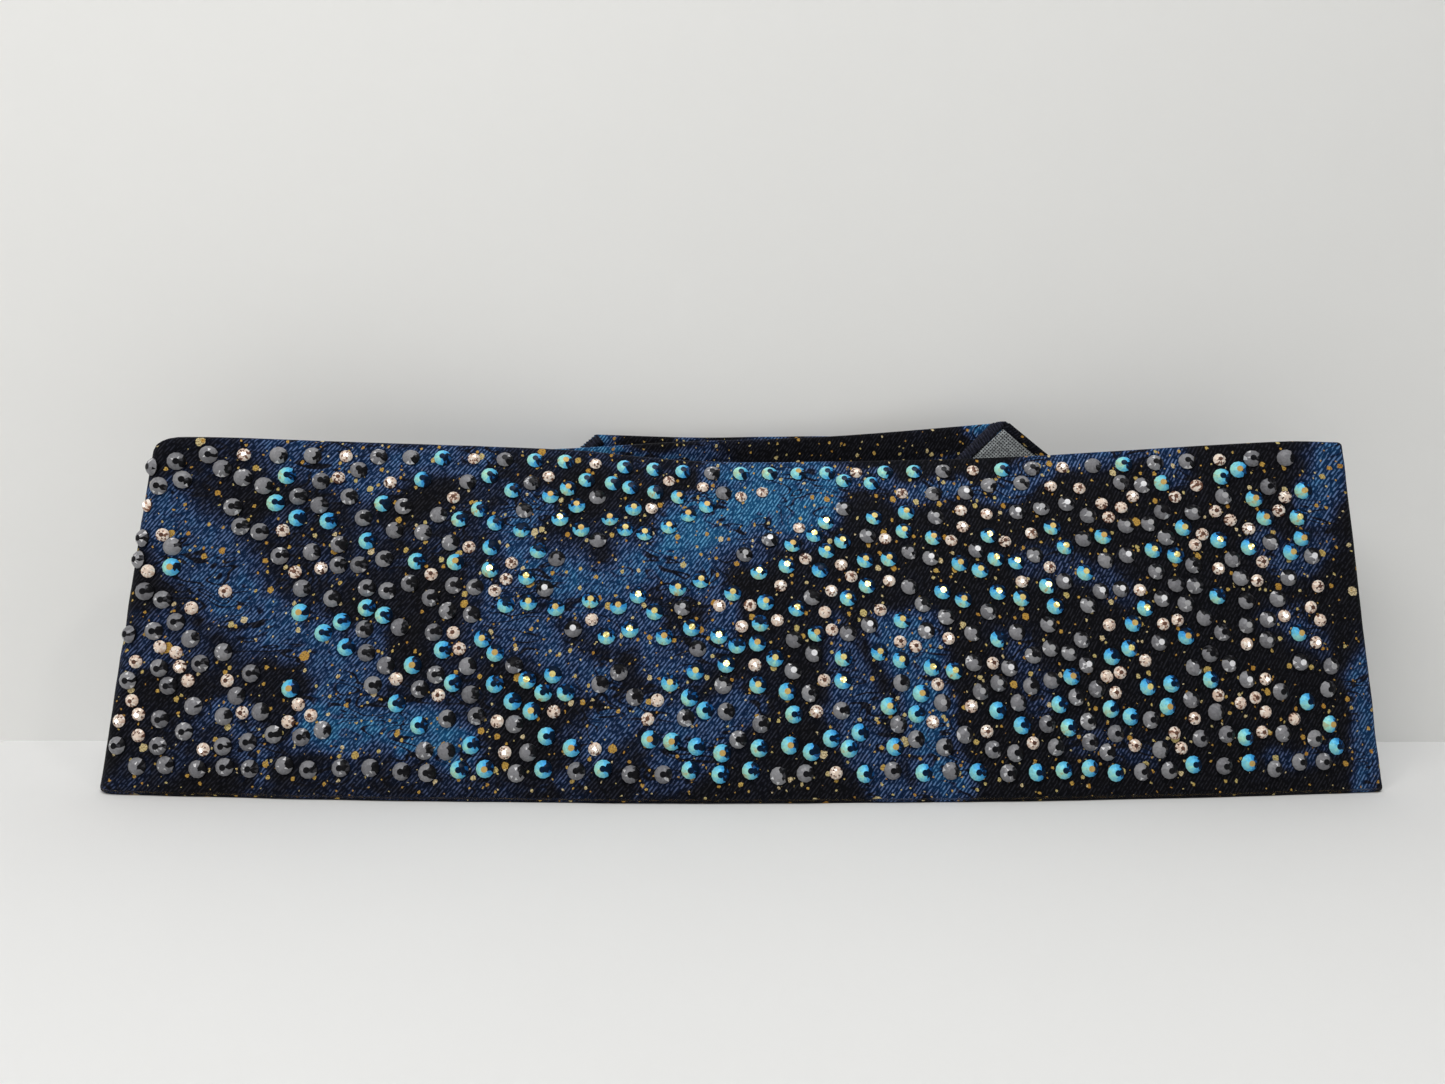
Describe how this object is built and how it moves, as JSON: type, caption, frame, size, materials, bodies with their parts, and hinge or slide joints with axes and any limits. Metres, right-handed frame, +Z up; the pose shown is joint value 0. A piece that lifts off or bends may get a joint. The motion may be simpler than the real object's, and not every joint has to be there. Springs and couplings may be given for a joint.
{
  "type": "crystal studded fabric headband",
  "caption": "Flattened fabric headband hoop, printed cotton over a stiff interlining, set with flat-back crystals on the front and closed at the back with hook-and-loop tape.",
  "frame": {"origin": "on the standing surface, under the middle of the part's box", "axes": "+X along the width, to the right as the decorated face is seen; +Y from the decorated face towards the closure; +Z up"},
  "size_m": [0.289, 0.0515, 0.0846],
  "materials": {
    "printed_cotton": "black and blue marbled print with small gold flecks, plain weave",
    "cotton_reverse": "pale unprinted reverse of the cotton",
    "interlining": "off-white woven stiffener",
    "hook_tape": "dark nylon hook tape",
    "loop_tape": "dark navy loop pile",
    "thread": "navy polyester thread",
    "aqua_crystal": "foil-backed cut glass with an aqua iridescent coating",
    "graphite_crystal": "foil-backed cut glass, dark metallic grey",
    "champagne_crystal": "foil-backed cut glass, pale peach"
  },
  "bodies": {
    "front_panel": {"front_cotton_sleeve": "printed_cotton", "front_interlining": "interlining", "front_closing_seam": "thread", "graphite_crystal_01": "graphite_crystal", "graphite_crystal_02": "graphite_crystal", "graphite_crystal_03": "graphite_crystal", "graphite_crystal_04": "graphite_crystal", "graphite_crystal_05": "graphite_crystal", "graphite_crystal_06": "graphite_crystal", "graphite_crystal_07": "graphite_crystal", "graphite_crystal_08": "graphite_crystal", "graphite_crystal_09": "graphite_crystal", "graphite_crystal_10": "graphite_crystal", "graphite_crystal_11": "graphite_crystal", "graphite_crystal_12": "graphite_crystal", "graphite_crystal_13": "graphite_crystal", "graphite_crystal_14": "graphite_crystal", "aqua_crystal_01": "aqua_crystal", "aqua_crystal_02": "aqua_crystal", "aqua_crystal_03": "aqua_crystal", "aqua_crystal_04": "aqua_crystal", "aqua_crystal_05": "aqua_crystal", "aqua_crystal_06": "aqua_crystal", "aqua_crystal_07": "aqua_crystal", "aqua_crystal_08": "aqua_crystal", "aqua_crystal_09": "aqua_crystal", "aqua_crystal_10": "aqua_crystal", "aqua_crystal_11": "aqua_crystal", "aqua_crystal_12": "aqua_crystal", "aqua_crystal_13": "aqua_crystal", "aqua_crystal_14": "aqua_crystal", "champagne_crystal_01": "champagne_crystal", "champagne_crystal_02": "champagne_crystal", "champagne_crystal_03": "champagne_crystal", "champagne_crystal_04": "champagne_crystal", "champagne_crystal_05": "champagne_crystal", "champagne_crystal_06": "champagne_crystal", "champagne_crystal_07": "champagne_crystal", "champagne_crystal_08": "champagne_crystal"},
    "inner_wing": {"inner_wing_cotton_sleeve": "printed_cotton", "inner_wing_interlining": "interlining", "inner_wing_closing_seam": "thread", "loop_tape": "loop_tape", "inner_wing_end_overlock": "thread", "inner_wing_corner_facing": "cotton_reverse"},
    "outer_wing": {"outer_wing_cotton_sleeve": "printed_cotton", "outer_wing_interlining": "interlining", "outer_wing_closing_seam": "thread", "hook_tape": "hook_tape"},
    "closing_tab": {"tab_cotton_sleeve": "printed_cotton", "tab_interlining": "interlining", "tab_hook_tape": "hook_tape", "tab_end_overlock": "thread"}
  },
  "joints": [
    {"name": "right_fold", "type": "hinge", "parent": "front_panel", "child": "outer_wing", "pos_m": [0.13708, -0.0103, 0.04005], "axis": [0.1191, -0.0864, -0.9891], "range_deg": [0, 140]},
    {"name": "left_fold", "type": "hinge", "parent": "front_panel", "child": "inner_wing", "pos_m": [-0.13476, -0.0055, 0.0383], "axis": [0.1224, 0.0903, 0.9884], "range_deg": [0, 28]},
    {"name": "tab_peel", "type": "hinge", "parent": "outer_wing", "child": "closing_tab", "pos_m": [-0.00773, 0.022, 0.04], "axis": [-0.0068, -0.0748, -0.9972], "range_deg": [0, 110]}
  ],
  "couplings": [
    {"joint": "left_fold", "follows": "right_fold", "ratio": 0.2}
  ]
}
